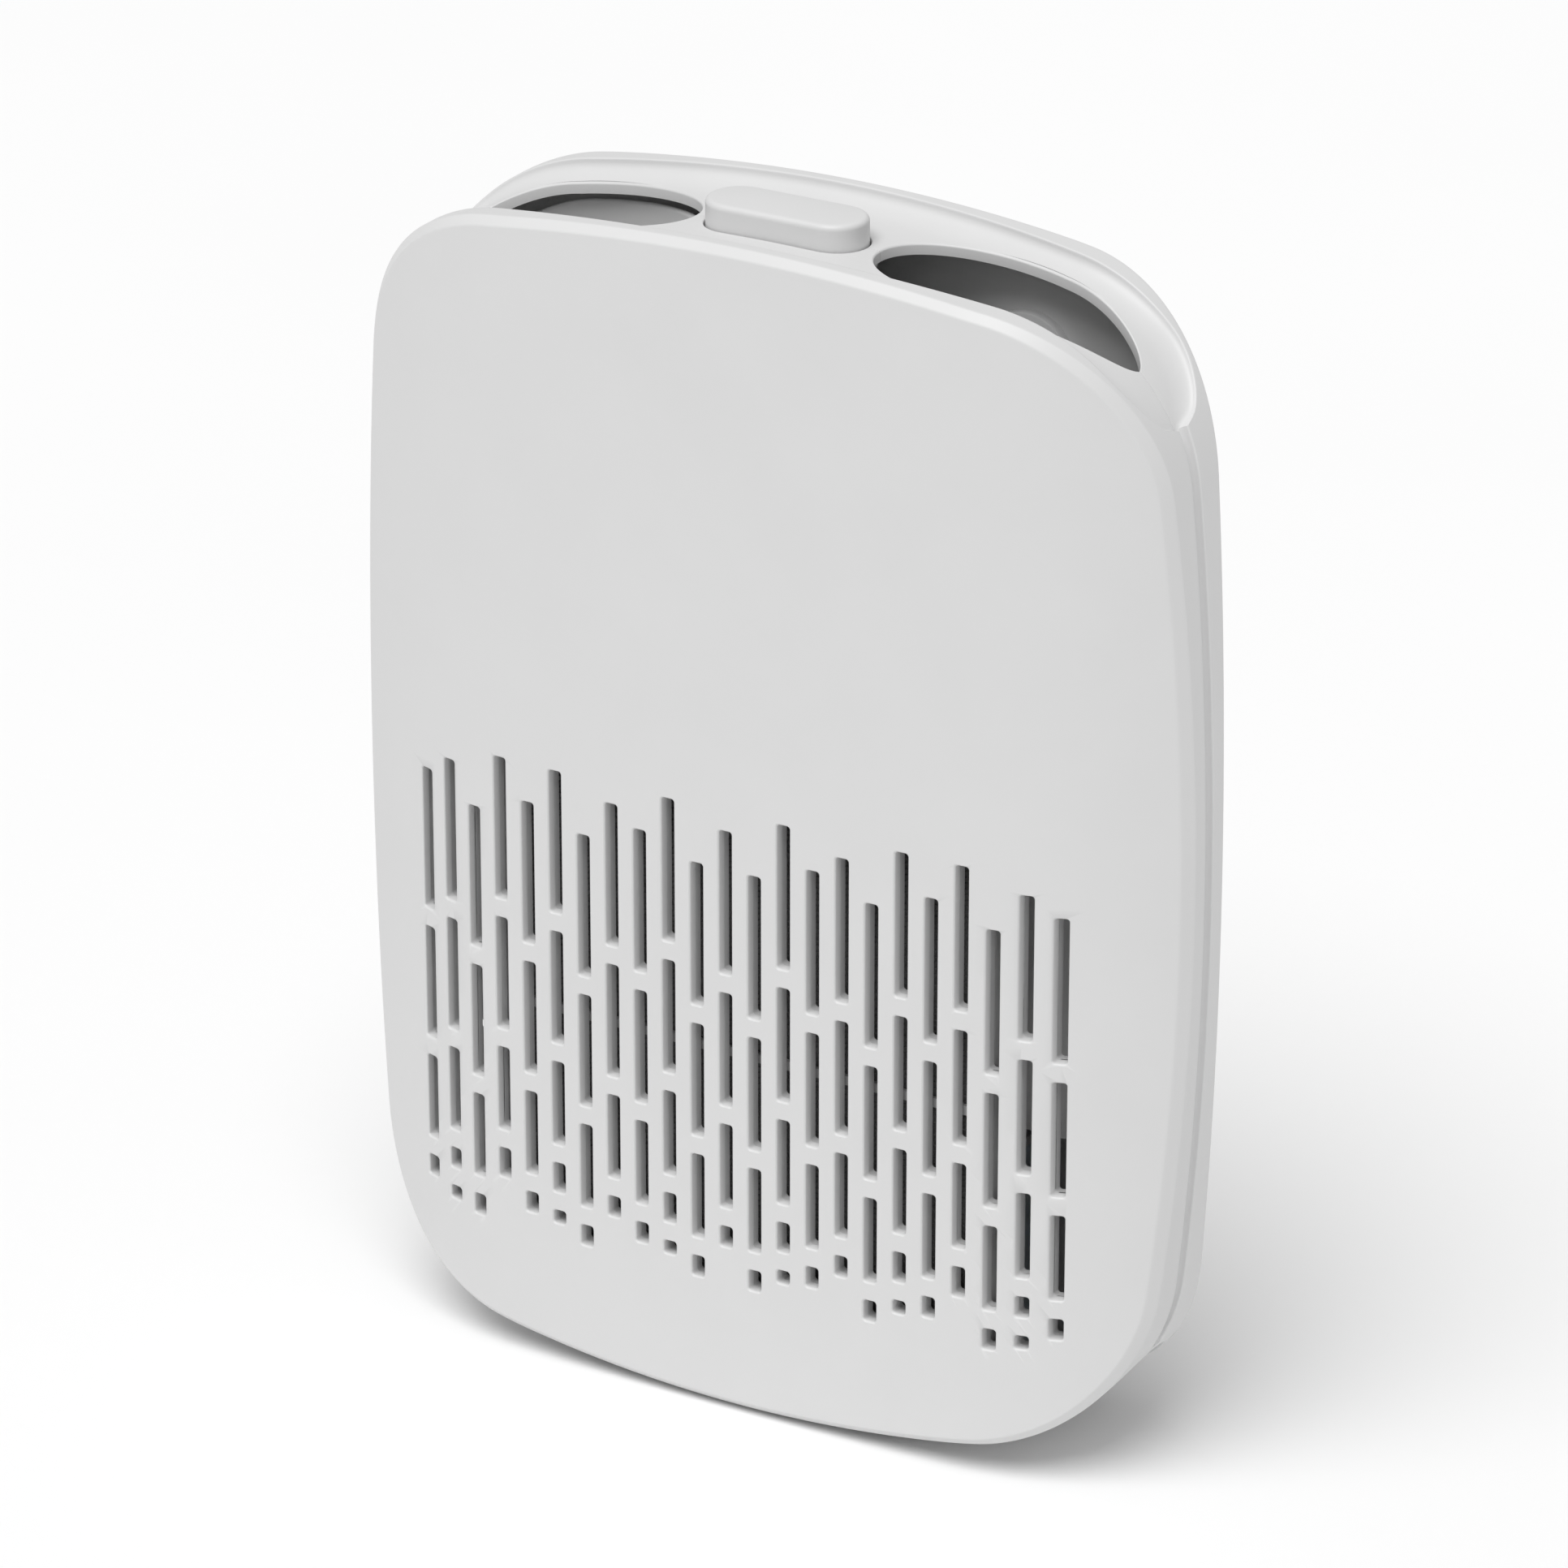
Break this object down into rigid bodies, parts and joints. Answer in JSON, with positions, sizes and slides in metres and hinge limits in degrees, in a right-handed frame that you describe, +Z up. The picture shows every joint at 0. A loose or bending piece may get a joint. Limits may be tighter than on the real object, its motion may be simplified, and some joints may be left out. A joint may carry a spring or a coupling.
{
  "type": "dehumidifier",
  "caption": "Slim cushion-shaped dehumidifier with slotted front, two top openings, push button and a water tank that draws out of the base.",
  "frame": {"origin": "on the resting plane under the feet, below the middle of the parting plane of the two shells", "axes": "+Z up, slotted front face towards -Y, +X to the right seen from the front"},
  "size_m": [0.229, 0.059, 0.3039],
  "materials": {
    "shell_plastic": "smooth pale grey-white moulded plastic, soft gloss",
    "grille_plastic": "mid grey moulded plastic, matt",
    "inner_plastic": "light grey moulded plastic, matt",
    "dark_plastic": "black moulded plastic, matt",
    "filter_cloth": "dark grey open mesh",
    "sink_metal": "extruded aluminium, plain",
    "module_ceramic": "white ceramic faces, stood in for by matt plastic",
    "foam": "closed-cell foam",
    "board": "green glass-epoxy circuit board",
    "screw_steel": "zinc-plated steel",
    "bronze": "sintered bronze",
    "magnet": "ferrite",
    "tank_clear": "translucent moulded plastic",
    "seal_rubber": "soft rubber",
    "float_foam": "foamed plastic",
    "spring_steel": "drawn spring wire"
  },
  "bodies": {
    "housing": {"front_shell": "shell_plastic", "rear_shell": "shell_plastic", "intake_grille": "grille_plastic", "filter_frame": "grille_plastic", "filter_mesh": "filter_cloth", "button_springs": "spring_steel", "switch_board": "board", "power_switch": "dark_plastic", "switch_board_screws": "screw_steel", "chassis": "inner_plastic", "peltier_module": "module_ceramic", "insulation_pad": "foam", "cold_sink": "sink_metal", "hot_sink": "sink_metal", "stack_screws": "screw_steel", "blower_case": "dark_plastic", "blower_cover": "dark_plastic", "motor_stator": "screw_steel", "shaft_bearing": "bronze", "blower_screws": "screw_steel", "outlet_duct": "inner_plastic", "drip_tray": "inner_plastic", "reed_switch": "dark_plastic", "main_board": "board", "board_parts": "dark_plastic", "board_screws": "screw_steel", "dc_jack": "dark_plastic", "jack_nut": "screw_steel", "shell_screws": "screw_steel"},
    "tank": {"water_tank": "tank_clear", "tank_base": "shell_plastic", "rubber_feet": "seal_rubber", "tank_lid": "inner_plastic", "lid_seal": "seal_rubber"},
    "float": {"float": "float_foam", "float_magnet": "magnet"},
    "button": {"power_button": "shell_plastic", "switch_plunger": "dark_plastic"},
    "rotor": {"impeller": "dark_plastic", "blower_shaft": "screw_steel", "rotor_magnet": "magnet"}
  },
  "joints": [
    {"name": "button_press", "type": "slide", "parent": "housing", "child": "button", "axis": [0, 0, -1], "range_m": [0, 0.0016], "stiffness_N_per_m": 600, "springref_m": -0.001, "deforming": ["button_springs"]},
    {"name": "rotor_spin", "type": "hinge", "parent": "housing", "child": "rotor", "pos_m": [-0.05, 0, 0.201], "axis": [0, 1, 0], "continuous": true},
    {"name": "tank_slide", "type": "slide", "parent": "housing", "child": "tank", "axis": [0, 0, -1], "range_m": [0, 0.08]},
    {"name": "float_rise", "type": "slide", "parent": "tank", "child": "float", "axis": [0, 0, 1], "range_m": [0, 0.024]}
  ]
}
